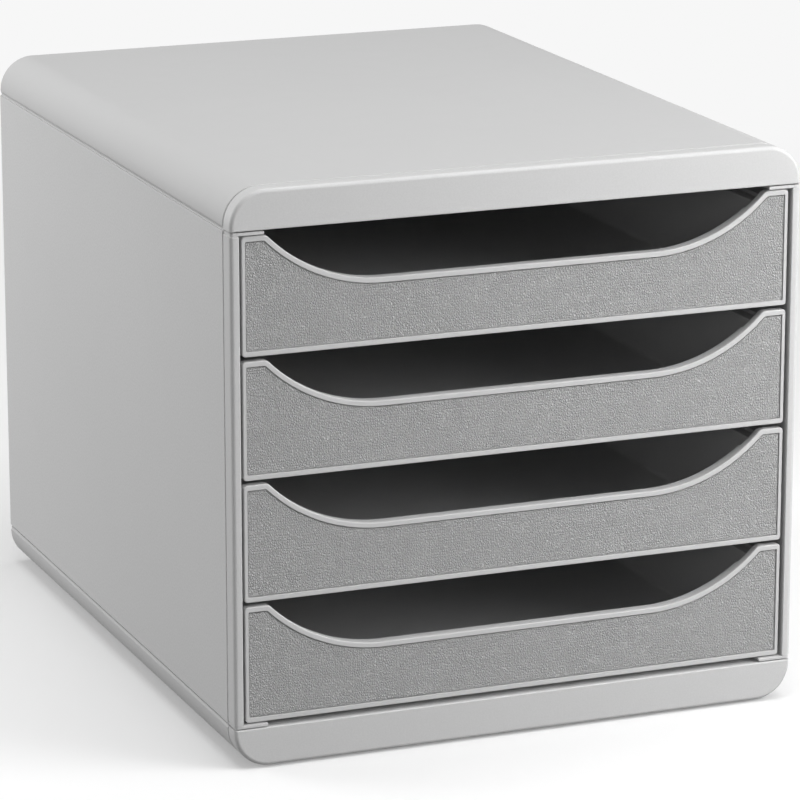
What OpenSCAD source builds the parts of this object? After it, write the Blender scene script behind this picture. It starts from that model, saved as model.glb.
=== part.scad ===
// Desktop filing box with four slide-out paper drawers.
// The front faces -Y, +X is to the right and +Z is up. The origin is the middle of the
// footprint, on the desk. Two C-shaped covers, two side panels and a back panel close a
// carcass of two runner frames; a frame of two fascias and two stiles finishes the front.

/* [Casing] */
// Overall width
case_w = 278; // [230:1:340]
// Overall depth, front to back
case_d = 347; // [285:1:420]
// Overall height, feet included
case_h = 267; // [220:1:330]
// Radius of the long corners of the two covers
corner_r = 17; // [10:0.5:18]
// Height of the top band and of the base band
band_h = 18.4; // [15:0.2:24]
// Wall of the covers and fascias
shell_t = 2.4; // [1.8:0.1:3]
// Thickness of the side panels
panel_t = 2; // [1.4:0.1:2.2]
// Thickness of the back panel
back_t = 2.2; // [1.6:0.1:4]
// How far the back panel lies inside the rear edge
back_set = 0.5; // [0:0.1:3]
// Thickness of the ribs inside the covers
rib_t = 1.6; // [1:0.1:3]
// Number of cross ribs in each cover
rib_count = 5; // [3:1:9]

/* [Front frame] */
// Depth of the fascias and stiles
bezel_d = 9.5; // [7:0.5:14]
// Rounding of the outer front edge of the frame
bezel_soft = 2.8; // [1:0.1:4]
// Width of a stile, seen from the front
stile_w = 4.3; // [3.8:0.1:8]
// Thickness of the front leg of a stile
stile_t = 2.2; // [1.6:0.1:3]
// Bevel on the inner front edge of a stile
stile_bevel = 0.6; // [0.2:0.1:1]
// Length of the ears at the ends of a stile
ear_len = 11.9; // [8:0.1:20]
// Thickness of the ears
ear_t = 1.5; // [1:0.1:1.8]
// Open width of the seams between the outer pieces
seam = 0.5; // [0.2:0.1:1]
// Height of each half of the V groove along the side panels
groove_h = 1; // [0.4:0.1:1.6]
// Depth of that V groove
groove_d = 0.7; // [0.3:0.1:1]
// How far the fascia tongues reach under the covers
tongue_l = 6; // [4:0.5:10]

/* [Drawer fronts] */
// Gap between one drawer front and the next
drawer_gap = 2.1; // [1:0.1:4]
// Gap between the drawer stack and the bands above and below it
edge_gap = 2.5; // [2:0.1:4]
// Gap between a drawer front and the stile beside it
side_gap = 1.8; // [0.8:0.1:3]
// How far the drawer fronts lie behind the face of the frame
front_set = 0.5; // [0:0.1:2]
// Depth of a drawer front, from its face to its back edge
front_d = 5; // [4:0.1:8]
// Wall of a drawer front
front_t = 1.8; // [1.4:0.1:2.4]
// Corner radius of a drawer front
front_r = 1.6; // [1.2:0.1:4]
// Width of the smooth rim
rim_w = 2.3; // [2.1:0.1:5]
// Rounding of the outer edge of the rim
rim_soft = 1.1; // [0.5:0.1:1.2]
// Rounding of the inner edge of the rim
rim_inner_soft = 0.5; // [0.2:0.1:0.8]
// Depth of the channel between the rim and the grained field
channel_d = 1; // [0.8:0.1:1.2]
// Width of that channel
channel_w = 0.9; // [0.5:0.1:2]
// How far the grained field stands above the channel
field_rise = 0.4; // [0.1:0.1:0.8]
// Depth of the scooped grip below the top of a drawer front
scoop_depth = 23.7; // [14:0.1:28]
// Radius of the two ends of the scoop
scoop_r = 77; // [40:1:90]
// Width left at full height beside the scoop
scoop_land = 11.3; // [8:0.1:20]
// Radius that the bevelled shoulders between the scoop and the full height follow
shoulder_r = 4; // [3.8:0.1:8]

/* [Drawer trays] */
// Side, rear and front walls of a tray
tray_t = 2; // [1.4:0.1:3]
// Floor of a tray
floor_t = 1.8; // [1.4:0.1:3]
// Plan radius inside the tray corners
tray_r = 6; // [3:0.5:12]
// How far the tray walls stop below the top of the drawer front
tray_drop = 8; // [7:0.5:12]
// How far the tray floor lies above the lower edge of the drawer front
tray_lift = 1; // [0.5:0.1:3]
// Width of the flange that rides on the runner
flange_w = 8.4; // [6:0.1:12]
// Thickness of that flange
flange_t = 2; // [1.4:0.1:3]
// Height of the stop lug on the rear end of the flange
lug_h = 3.6; // [2.6:0.1:4]
// Length of the stop lug
lug_l = 8; // [4:0.5:14]

/* [Runners] */
// Thickness of the runner ledges
rail_t = 2; // [1.4:0.1:3]
// Thickness of the keeper ledges above the flanges
keeper_t = 1.8; // [1.2:0.1:2]
// Length of the keeper ledges, whose rear ends stop the drawers
keeper_l = 76; // [50:1:110]
// Width of the keeper ledges
keeper_w = 6.9; // [4:0.1:7.5]
// Width of the foot and head flanges of a runner frame
foot_flange_w = 24; // [16:1:40]

/* [Feet] */
// Diameter of a foot pad
foot_dia = 18; // [12:0.5:24]
// How far the pads stand out of the base
foot_out = 1; // [0.6:0.1:2]
// Depth of the pad sockets in the base
foot_seat = 1.3; // [0.8:0.1:1.4]
// Distance of the pad centres from the sides and ends of the box
foot_inset = 34; // [28:1:60]

/* [Clearances] */
// Fixed pieces that fit together
fit = 0.2; // [0.1:0.05:0.4]
// Flange over and under, on the runner
run_gap = 0.3; // [0.2:0.05:0.6]
// Flange to the wall of the runner frame
flange_play = 1.5; // [0.8:0.1:2.5]
// Tray wall to the edge of the runner
rail_play = 1; // [0.6:0.1:2]
// Tray to the back panel, drawer closed
rear_gap = 2; // [1:0.1:6]

/* [Hidden] */

$fn = 96;
drawer_count = 4;
// Overshoot of a cutting shape past the face it opens
past = 1;
// Straight steps that make up a quarter of a rounded edge
soft_steps = 4;

half_w = case_w / 2;
half_d = case_d / 2;
face_y = -half_d;
bezel_back = face_y + bezel_d;
shell_bottom = foot_out;
open_bottom = shell_bottom + band_h;
open_top = case_h - band_h;

drawer_h = (open_top - open_bottom - 2 * edge_gap - (drawer_count - 1) * drawer_gap) / drawer_count;
drawer_pitch = drawer_h + drawer_gap;
front_w = case_w - 2 * (stile_w + side_gap);
front_y = face_y + front_set;
// The plate of a drawer front, behind its channel
plate_back = channel_d + front_t;
// Half of the flat bottom of the scoop
scoop_flat = front_w / 2 - scoop_land - sqrt(2 * scoop_r * scoop_depth - scoop_depth * scoop_depth);

runner_x = half_w - stile_w + fit;
runner_out = half_w - panel_t - fit;
runner_front = face_y + stile_t + fit;
back_y = half_d - back_set - back_t;
tray_x = runner_x - flange_play - flange_w;
tray_front = front_y + front_d;
tray_rear = back_y - rear_gap;
tray_top = drawer_h - tray_drop;
// Rear end of the side flanges, where the round tray corner begins
flange_rear = tray_rear - tray_r - tray_t;
flange_z = tray_top - flange_t;
rail_z = flange_z - run_gap - rail_t;
keeper_z = tray_top + run_gap;

// Snap hooks of the drawer fronts
hook_w = 8;
hook_t = 1.6;
hook_barb = 0.9;
hook_slot = 0.4;
hook_z = 9;
hook_catch = front_d + tray_t + fit;
hook_places = [-0.4, -0.14, 0.14, 0.4];

// Lightening windows of the runner frames, from their lower edge up to the rim below a ledge
window_w = 26;
window_r = 4;
window_z = 9;
window_rim = 8;
window_h = rail_z - window_rim - window_z;
window_count = 6;
window_step = (back_y - fit - bezel_back) / window_count;

// Clips of the side and back panels, which catch in those windows
clip_w = 9;
clip_t = 1.6;
clip_catch = 1.2;
clip_columns = [0, 2, 5];

// Stiffening ribs under a tray floor
under_rib_h = 0.8;
under_rib_t = 1.4;
under_ribs = [-0.3, 0, 0.3];
// Lip along the rear wall of a tray
rear_lip = 1.2;

// How far the ends of a stile step back from its bar
ear_step = 0.35;

light_grey = [0.8, 0.8, 0.8];
mid_grey = [0.66, 0.66, 0.66];
inner_grey = [0.76, 0.76, 0.76];
rubber_grey = [0.3, 0.3, 0.3];

// Height of the lower edge of a drawer front; drawer 1 is the top one
function drawer_z(number) = open_bottom + edge_gap + (drawer_count - number) * drawer_pitch;

// Middle of a lightening window, counted from the front
function window_y(column) = bezel_back + (column + 0.5) * window_step;

// Edge profiles are lists of [distance inward from the outline, depth behind the face].
// A rounded outer edge, then straight back to the given depth
function soft_edge(soft, depth) = concat(
    [for (i = [0 : soft_steps])
        let (a = 90 * i / soft_steps)
        [soft * (1 - sin(a)), soft * (1 - cos(a))]],
    [[0, depth]]);

// The mouth of a pocket whose edge is rounded, at a distance inward, down to a depth
function mouth_edge(inward, soft, depth) = concat(
    [[inward - soft, -past]],
    [for (i = [0 : soft_steps])
        let (a = 90 * i / soft_steps)
        [inward - soft * (1 - sin(a)), soft * (1 - cos(a))]],
    [[inward, depth]]);

function straight_edge(inward, from, to) = [[inward, from], [inward, to]];

// Carry a drawn profile along one axis: (x, z) along y, (y, z) along x, (x, y) along z
module along_y(from, to) {
    translate([0, to, 0]) rotate([90, 0, 0]) linear_extrude(to - from) children();
}

module along_x(from, to) {
    translate([from, 0, 0]) rotate([90, 0, 90]) linear_extrude(to - from) children();
}

module along_z(from, to) {
    translate([0, 0, from]) linear_extrude(to - from) children();
}

module block(low, high) {
    translate(low) cube(high - low);
}

module both_sides() {
    children();
    mirror([1, 0, 0]) children();
}

module side(right) {
    mirror([right ? 0 : 1, 0, 0]) children();
}

// Strip with a profile at its lower and upper edges, seen from the side
module edge_strip(edge, y, low, high) {
    polygon(concat(
        [for (p = edge) [y + p[1], low + p[0]]],
        [for (i = [len(edge) - 1 : -1 : 0]) [y + edge[i][1], high - edge[i][0]]]));
}

// The same seen from above, for its left and right edges
module edge_span(edge, y, half) {
    polygon(concat(
        [for (p = edge) [-half + p[0], y + p[1]]],
        [for (i = [len(edge) - 1 : -1 : 0]) [half - edge[i][0], y + edge[i][1]]]));
}

// A quarter turn of an edge profile about a corner axis that runs front to back
module edge_corner(edge, y, x, z, radius, turn) {
    last = edge[len(edge) - 1];
    translate([x, y, z]) rotate([0, turn, 0]) rotate([-90, 0, 0]) rotate_extrude(angle = 90)
        polygon(concat(
            [for (p = edge) [radius - p[0], p[1]]],
            [[0, last[1]], [0, edge[0][1]]]));
}

// Plate with an edge profile all round and rounded corners
module round_plate(edge, y, half, low, high, radius) {
    along_x(-half + radius, half - radius) edge_strip(edge, y, low, high);
    along_z(low + radius, high - radius) edge_span(edge, y, half);
    edge_corner(edge, y, half - radius, low + radius, radius, 0);
    edge_corner(edge, y, -half + radius, low + radius, radius, 90);
    edge_corner(edge, y, -half + radius, high - radius, radius, 180);
    edge_corner(edge, y, half - radius, high - radius, radius, 270);
}

// Plate with an edge profile all round and mitred corners
module mitred_plate(edge, y, half, low, high) {
    intersection() {
        along_x(-half, half) edge_strip(edge, y, low, high);
        along_z(low, high) edge_span(edge, y, half);
    }
}

// What the scoop takes out of a front: a flat run between two large quarter turns
module scoop(edge, y, high) {
    rim_z = high - scoop_depth;
    back = edge[len(edge) - 1][1];
    along_x(-scoop_flat, scoop_flat)
        polygon(concat(
            [for (p = edge) [y + p[1], rim_z - p[0]]],
            [[y + back, high + past], [y + edge[0][1], high + past]]));
    for (right = [false, true])
        translate([right ? scoop_flat : -scoop_flat, y, rim_z + scoop_r])
            rotate([0, right ? 0 : 90, 0]) rotate([-90, 0, 0]) rotate_extrude(angle = 90)
                polygon(concat(
                    [for (p = edge) [scoop_r + p[0], p[1]]],
                    [[0, back], [0, edge[0][1]]]));
    both_sides() shoulder(edge, y, high);
}

// What bevels the right shoulder, between the scoop and the full height
module shoulder(edge, y, high) {
    back = edge[len(edge) - 1][1];
    drop = scoop_r - scoop_depth + shoulder_r;
    reach = sqrt((scoop_r + shoulder_r) * (scoop_r + shoulder_r) - drop * drop);
    translate([scoop_flat + reach, y, high - shoulder_r])
        rotate([0, -atan2(reach, drop) / 2, 0])
            along_x(-shoulder_r, shoulder_r)
                polygon(concat(
                    [for (p = edge) [p[1], shoulder_r - p[0]]],
                    [[back, shoulder_r + past], [edge[0][1], shoulder_r + past]]));
}

// Section of the casing across the box, seen from the front
module case_outline(inward) {
    radius = corner_r - inward;
    x = half_w - corner_r;
    low = shell_bottom + corner_r;
    high = case_h - corner_r;
    translate([-x, shell_bottom + inward]) square([2 * x, case_h - shell_bottom - 2 * inward]);
    translate([-half_w + inward, low]) square([case_w - 2 * inward, high - low]);
    for (cx = [-x, x], cz = [low, high])
        translate([cx, cz]) circle(radius);
}

// Heights of the top band or of the base band
module band_window(top) {
    low = top ? open_top + fit / 2 : shell_bottom - past;
    high = top ? case_h + past : open_bottom - fit / 2;
    translate([-case_w, low]) square([2 * case_w, high - low]);
}

module band_section(top, outer, inner) {
    intersection() {
        difference() {
            case_outline(outer);
            case_outline(inner);
        }
        band_window(top);
    }
}

// The seam edge of a band, bevelled outside as one half of the V groove
module groove_cut(top) {
    edge = top ? open_top : open_bottom;
    step = top ? groove_h : -groove_h;
    polygon([[half_w + past, edge - step], [half_w + past, edge + step],
        [half_w, edge + step], [half_w - groove_d, edge], [half_w - groove_d, edge - step]]);
}

// C-shaped cover with its grid of ribs; the base cover is the same upside down
module cover(top) {
    front = bezel_back + seam;
    low = top ? open_top : shell_bottom + shell_t;
    high = top ? case_h - shell_t : open_bottom;
    rib_front = front + tongue_l + fit;
    rib_rear = back_y - fit;
    rib_step = (rib_rear - rib_front - rib_t) / (rib_count - 1);
    rib_x = runner_x - foot_flange_w / 2;
    difference() {
        union() {
            along_y(front, half_d)
                difference() {
                    band_section(top, 0, shell_t);
                    groove_cut(top);
                    mirror([1, 0]) groove_cut(top);
                }
            for (i = [0 : rib_count - 1])
                along_y(rib_front + i * rib_step, rib_front + i * rib_step + rib_t)
                    intersection() {
                        case_outline(shell_t / 2);
                        translate([-half_w + corner_r, low - shell_t])
                            square([case_w - 2 * corner_r, high - low + 2 * shell_t]);
                        band_window(top);
                    }
            both_sides() block([rib_x, rib_front, top ? low + fit / 2 : low - shell_t / 2],
                [rib_x + rib_t, rib_rear, top ? high + shell_t / 2 : high - fit / 2]);
        }
        if (!top) foot_places() cylinder(d = foot_dia + 2 * fit, h = foot_seat + past);
    }
}

// Sockets of the feet, from below the base up into its floor
module foot_places() {
    x = half_w - foot_inset;
    y = half_d - foot_inset;
    for (px = [-x, x], py = [-y, y])
        translate([px, py, shell_bottom - past]) children();
}

module foot(right, rear) {
    x = half_w - foot_inset;
    y = half_d - foot_inset;
    edge = 0.6;
    height = shell_bottom + foot_seat;
    color(rubber_grey)
        translate([right ? x : -x, rear ? y : -y, 0])
            rotate_extrude()
                polygon([[0, 0], [foot_dia / 2 - edge, 0], [foot_dia / 2, edge],
                    [foot_dia / 2, height], [0, height]]);
}

module top_cover() {
    color(light_grey) cover(true);
}

module base_cover() {
    color(light_grey) cover(false);
}

// Front piece of a band: a moulded shell, open to the rear, whose tongue goes under the cover
module fascia(top) {
    low = top ? open_top + fit / 2 : shell_bottom + shell_t;
    high = top ? case_h - shell_t : open_bottom - fit / 2;
    stiff_step = (case_w - 2 * corner_r) / (rib_count + 1);
    difference() {
        intersection() {
            round_plate(soft_edge(bezel_soft, bezel_d), face_y, half_w, shell_bottom, case_h, corner_r);
            along_y(face_y - past, bezel_back + past) band_window(top);
        }
        along_y(face_y + shell_t, bezel_back + past)
            intersection() {
                case_outline(shell_t);
                translate([-half_w, low + (top ? shell_t : -shell_t)])
                    square([case_w, high - low]);
            }
    }
    for (i = [1 : rib_count])
        block([-half_w + corner_r + i * stiff_step - rib_t / 2, face_y + shell_t / 2, low + shell_t / 2],
            [-half_w + corner_r + i * stiff_step + rib_t / 2, bezel_back, high - shell_t / 2]);
    // Tongue that the cover laps over, held to the level run of the cover
    along_y(bezel_back - rib_t, bezel_back + seam + tongue_l)
        intersection() {
            difference() {
                case_outline(shell_t + fit);
                case_outline(shell_t + fit + rib_t);
            }
            translate([-half_w + corner_r, top ? high - 3 * rib_t : low - rib_t])
                square([case_w - 2 * corner_r, 4 * rib_t]);
        }
    along_y(bezel_back - 2 * rib_t, bezel_back)
        intersection() {
            difference() {
                case_outline(shell_t / 2);
                case_outline(shell_t + fit + rib_t);
            }
            translate([-half_w + corner_r, top ? high - 3 * rib_t : low - 2 * rib_t])
                square([case_w - 2 * corner_r, 5 * rib_t]);
        }
}

module top_front_fascia() {
    color(light_grey) fascia(true);
}

module bottom_front_fascia() {
    color(light_grey) fascia(false);
}

// Flat side panel with bevelled long edges and clips that reach through the runner frame
module side_panel(right) {
    low = open_bottom + fit / 2;
    high = open_top - fit / 2;
    catch_x = runner_x - fit;
    color(light_grey)
        side(right) {
            along_y(bezel_back + seam, half_d)
                difference() {
                    translate([half_w - panel_t, low]) square([panel_t, high - low]);
                    groove_cut(true);
                    groove_cut(false);
                }
            for (n = [1, drawer_count], column = clip_columns)
                translate([0, window_y(column) - clip_w / 2, drawer_z(n) + window_z + window_h - fit]) {
                    block([catch_x - clip_catch, 0, -clip_t], [half_w - panel_t / 2, clip_w, 0]);
                    block([catch_x - clip_catch, 0, -clip_t], [catch_x, clip_w, clip_catch]);
                }
        }
}

module left_side_panel() {
    side_panel(false);
}

module right_side_panel() {
    side_panel(true);
}

// L-shaped stile that hides the front edge of a runner frame, with an ear at each end
module stile(right) {
    low = open_bottom + fit / 2;
    high = open_top - fit / 2;
    ear_x = half_w - stile_w - ear_len;
    color(light_grey)
        side(right) {
            along_z(low + ear_t + ear_step, high - ear_t - ear_step) stile_section(0);
            along_z(low, high) stile_section(ear_step);
            for (z = [low, high - ear_t]) {
                along_y(face_y + ear_step, bezel_back) {
                    translate([ear_x + ear_t / 2, z]) square([ear_len - ear_t / 2, ear_t]);
                    translate([ear_x + ear_t / 2, z + ear_t / 2]) circle(d = ear_t, $fn = 24);
                }
                along_y(face_y + ear_step, face_y + stile_t)
                    translate([ear_x + ear_len / 2, z]) square([ear_len / 2 + stile_t, ear_t]);
            }
        }
}

// Section of the right stile from above, its visible faces stepped back by a distance
module stile_section(back) {
    outer = half_w - back;
    front = face_y + back;
    in_x = half_w - stile_w;
    soft = bezel_soft - back;
    polygon(concat(
        [for (i = [0 : soft_steps])
            let (a = 90 * i / soft_steps)
            [outer - soft * (1 - sin(a)), front + soft * (1 - cos(a))]],
        [[outer, bezel_back],
            [half_w - panel_t, bezel_back],
            [half_w - panel_t, face_y + stile_t],
            [in_x + back, face_y + stile_t],
            [in_x + back, front + stile_bevel],
            [in_x + back + stile_bevel, front]]));
}

module left_front_stile() {
    stile(false);
}

module right_front_stile() {
    stile(true);
}

// Back panel, let in between the covers and side panels: a lower field inside a border,
// and clip tabs that catch in the rearmost windows of the runner frames
module back_panel() {
    border = 12;
    sink = 0.8;
    side_x = half_w - panel_t - fit;
    catch_x = runner_x - fit;
    catch_y = window_y(window_count - 1) + window_w / 2 - fit;
    catch_h = window_h - 2 * (window_r + fit);
    color(light_grey) {
        for (n = [1, drawer_count])
            both_sides()
                translate([catch_x, 0, drawer_z(n) + window_z + window_r + fit]) {
                    block([-clip_t, catch_y - 2 * clip_catch, 0], [0, back_y + back_t / 2, catch_h]);
                    block([-clip_t, catch_y - 2 * clip_catch, 0], [clip_catch + fit, catch_y, catch_h]);
                }
        difference() {
            along_y(back_y, back_y + back_t)
                intersection() {
                    case_outline(shell_t + fit);
                    translate([-side_x, 0]) square([2 * side_x, case_h]);
                }
            along_y(back_y + back_t - sink, back_y + back_t + past)
                intersection() {
                    case_outline(shell_t + border);
                    translate([-side_x + border, 0]) square([2 * (side_x - border), case_h]);
                }
        }
    }
}

// Inner side frame that carries the drawers on ledges
module runner_frame(right) {
    low = open_bottom + fit / 2;
    high = open_top - fit / 2;
    rear = back_y - fit;
    color(inner_grey)
        side(right) {
            difference() {
                block([runner_x, runner_front, low], [runner_out, rear, high]);
                for (n = [1 : drawer_count], i = [0 : window_count - 1])
                    along_x(runner_x - past, runner_out + past)
                        translate([window_y(i), drawer_z(n) + window_z + window_h / 2])
                            rounded_rect(window_w, window_h, window_r);
            }
            for (z = [low, high - rail_t])
                block([runner_x - foot_flange_w, bezel_back + seam + tongue_l, z],
                    [runner_out, rear, z + rail_t]);
            for (n = [1 : drawer_count]) {
                block([tray_x + rail_play, bezel_back, drawer_z(n) + rail_z],
                    [runner_out, rear, drawer_z(n) + rail_z + rail_t]);
                block([runner_x - keeper_w, bezel_back, drawer_z(n) + keeper_z],
                    [runner_out, bezel_back + keeper_l, drawer_z(n) + keeper_z + keeper_t]);
            }
        }
}

module left_runner_frame() {
    runner_frame(false);
}

module right_runner_frame() {
    runner_frame(true);
}

// Rectangle about the origin with round corners
module rounded_rect(width, height, radius) {
    square([width - 2 * radius, height], center = true);
    square([width, height - 2 * radius], center = true);
    for (x = [-1, 1], y = [-1, 1])
        translate([x * (width / 2 - radius), y * (height / 2 - radius)]) circle(radius);
}

// Scooped drawer front: smooth rim, channel and grained field, hollow behind
module drawer_front(number) {
    low = drawer_z(number);
    high = low + drawer_h;
    half = front_w / 2;
    outer = soft_edge(rim_soft, front_d);
    mouth = mouth_edge(rim_w, rim_inner_soft, channel_d);
    field = straight_edge(rim_w + channel_w, channel_d - field_rise, plate_back);
    hollow = straight_edge(front_t, plate_back, front_d + past);
    color(mid_grey) {
        difference() {
            round_plate(outer, front_y, half, low, high, front_r);
            scoop(concat([[rim_soft, -past]], outer, [[0, front_d + past]]), front_y, high);
            difference() {
                mitred_plate(mouth, front_y, half, low, high);
                scoop(mouth, front_y, high);
            }
            difference() {
                mitred_plate(hollow, front_y, half, low, high);
                scoop(hollow, front_y, high);
            }
        }
        difference() {
            mitred_plate(field, front_y, half, low, high);
            scoop(straight_edge(rim_w + channel_w, -past, front_d), front_y, high);
        }
        for (place = hook_places)
            translate([place * front_w, front_y, low + hook_z])
                along_x(-hook_w / 2, hook_w / 2)
                    polygon([[plate_back - front_t / 2, 0], [plate_back - front_t / 2, hook_t],
                        [hook_catch, hook_t], [hook_catch, hook_t + hook_barb],
                        [hook_catch + hook_barb, hook_t], [hook_catch + hook_barb, 0]]);
    }
}

// Paper tray: walls, floor, side flanges that ride on the runners, and stop lugs
module drawer_tray(number) {
    low = drawer_z(number);
    length = tray_rear - tray_front;
    mid_y = (tray_rear + tray_front) / 2;
    corner = tray_r + tray_t;
    floor_z = low + tray_lift;
    top_z = low + tray_top;
    color(light_grey)
        difference() {
            union() {
                along_z(floor_z, top_z)
                    translate([0, mid_y]) rounded_rect(2 * tray_x, length, corner);
                for (place = under_ribs) {
                    x = place * 2 * tray_x;
                    y = mid_y + place * length;
                    block([x - under_rib_t / 2, tray_front + corner, floor_z - under_rib_h],
                        [x + under_rib_t / 2, flange_rear, floor_z + floor_t / 2]);
                    block([-tray_x + corner, y - under_rib_t / 2, floor_z - under_rib_h],
                        [tray_x - corner, y + under_rib_t / 2, floor_z + floor_t / 2]);
                }
                block([-tray_x + corner, tray_rear - tray_t / 2, top_z - flange_t],
                    [tray_x - corner, tray_rear + rear_lip, top_z]);
                both_sides() {
                    block([tray_x - tray_t / 2, tray_front + corner, top_z - flange_t],
                        [tray_x + flange_w, flange_rear, top_z]);
                    block([tray_x + flange_w / 2, flange_rear - lug_l, top_z - flange_t],
                        [tray_x + flange_w, flange_rear, top_z + lug_h]);
                }
            }
            along_z(floor_z + floor_t, top_z + past)
                translate([0, mid_y]) rounded_rect(2 * (tray_x - tray_t), length - 2 * tray_t, tray_r);
            scoop(straight_edge(fit, front_d - past, front_d + corner), front_y, low + drawer_h);
            for (place = hook_places)
                translate([place * front_w, tray_front, low + hook_z])
                    block([-hook_w / 2 - hook_slot, -past, -hook_slot],
                        [hook_w / 2 + hook_slot, tray_t + past, hook_t + hook_barb + hook_slot]);
        }
}

top_cover();
base_cover();
top_front_fascia();
bottom_front_fascia();
left_side_panel();
right_side_panel();
back_panel();
left_front_stile();
right_front_stile();
left_runner_frame();
right_runner_frame();
foot(false, false);  // foot_front_left
foot(true, false);  // foot_front_right
foot(false, true);  // foot_rear_left
foot(true, true);  // foot_rear_right
drawer_front(1);  // drawer_1_front
drawer_front(2);  // drawer_2_front
drawer_front(3);  // drawer_3_front
drawer_front(4);  // drawer_4_front
drawer_tray(1);  // drawer_1_tray
drawer_tray(2);  // drawer_2_tray
drawer_tray(3);  // drawer_3_tray
drawer_tray(4);  // drawer_4_tray
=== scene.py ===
import math

import bmesh
import bpy
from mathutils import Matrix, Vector


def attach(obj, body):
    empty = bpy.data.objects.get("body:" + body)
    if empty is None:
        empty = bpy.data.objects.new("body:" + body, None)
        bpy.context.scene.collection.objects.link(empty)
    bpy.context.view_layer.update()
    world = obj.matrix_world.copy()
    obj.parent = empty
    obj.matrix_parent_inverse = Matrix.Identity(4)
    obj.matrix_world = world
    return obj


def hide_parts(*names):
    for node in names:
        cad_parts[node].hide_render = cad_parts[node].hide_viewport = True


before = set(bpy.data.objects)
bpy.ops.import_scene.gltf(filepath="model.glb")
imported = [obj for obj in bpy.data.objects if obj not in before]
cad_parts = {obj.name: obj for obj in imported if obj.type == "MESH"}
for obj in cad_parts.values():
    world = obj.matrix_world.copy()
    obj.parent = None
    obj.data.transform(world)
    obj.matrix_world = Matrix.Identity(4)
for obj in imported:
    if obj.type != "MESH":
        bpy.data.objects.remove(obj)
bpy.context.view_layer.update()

print("packed model loaded:", len(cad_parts), "nodes")

# Sizes of pieces are in millimetres; those of the casing are the same as in the part
casing = {
    "halfWidth": 139.0,
    "faceY": -173.5,
    "rearY": 173.5,
    "top": 267.0,
    "bottom": 1.0,
    "cornerRadius": 17.0,
    "bandHeight": 18.4,
    "wall": 2.4,
    "bezelDepth": 9.5,
    "seam": 0.5,
    "fit": 0.2,
}
metresPerMillimetre = 0.001
bezelBack = casing["faceY"] + casing["bezelDepth"]
openTop = casing["top"] - casing["bandHeight"]
openBottom = casing["bottom"] + casing["bandHeight"]
mirrorHeight = casing["top"] + casing["bottom"]
bandLow = openTop + casing["fit"] / 2
cornerX = casing["halfWidth"] - casing["cornerRadius"]
cornerZ = casing["top"] - casing["cornerRadius"]

# Sizes of the drawers, also as in the part but for the face, which the photograph shows set further back
drawer = {
    "count": 4,
    "height": 54.475,
    "pitch": 56.575,
    "edgeGap": 2.5,
    "halfWidth": 132.9,
    "frontY": -173.0,
    "faceSetBack": 0.8,
    "frontDepth": 5.0,
    "wall": 1.8,
    "cornerRadius": 1.6,
    "scoopDepth": 23.7,
    "scoopRadius": 77.0,
    "scoopFlat": 66.03,
    "shoulderRadius": 4.0,
}


def drawerLow(number):
    return openBottom + drawer["edgeGap"] + (drawer["count"] - number) * drawer["pitch"]


def arcPoints(centre, radius, startAngle, endAngle, steps):
    points = []
    for i in range(steps + 1):
        angle = math.radians(startAngle + (endAngle - startAngle) * i / steps)
        points.append((centre[0] + radius * math.cos(angle), centre[1] + radius * math.sin(angle)))
    return points


def roundedInset(depth, radius):
    # how far a rounded edge still lies inside its outline at a depth behind the face
    if depth >= radius:
        return 0.0
    return radius - math.sqrt(radius * radius - (radius - depth) ** 2)


def roundedDepths(radius, steps):
    return [radius * (1 - math.cos(math.pi / 2 * i / steps)) for i in range(steps + 1)]


# Shared by all moulded shapes, with the angle in degrees
mouldLook = {
    "barSoftness": 0.3,
    "barShare": 1 / 3,
    "sharpAngle": 32,
    "normalWeight": 90,
}


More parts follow.
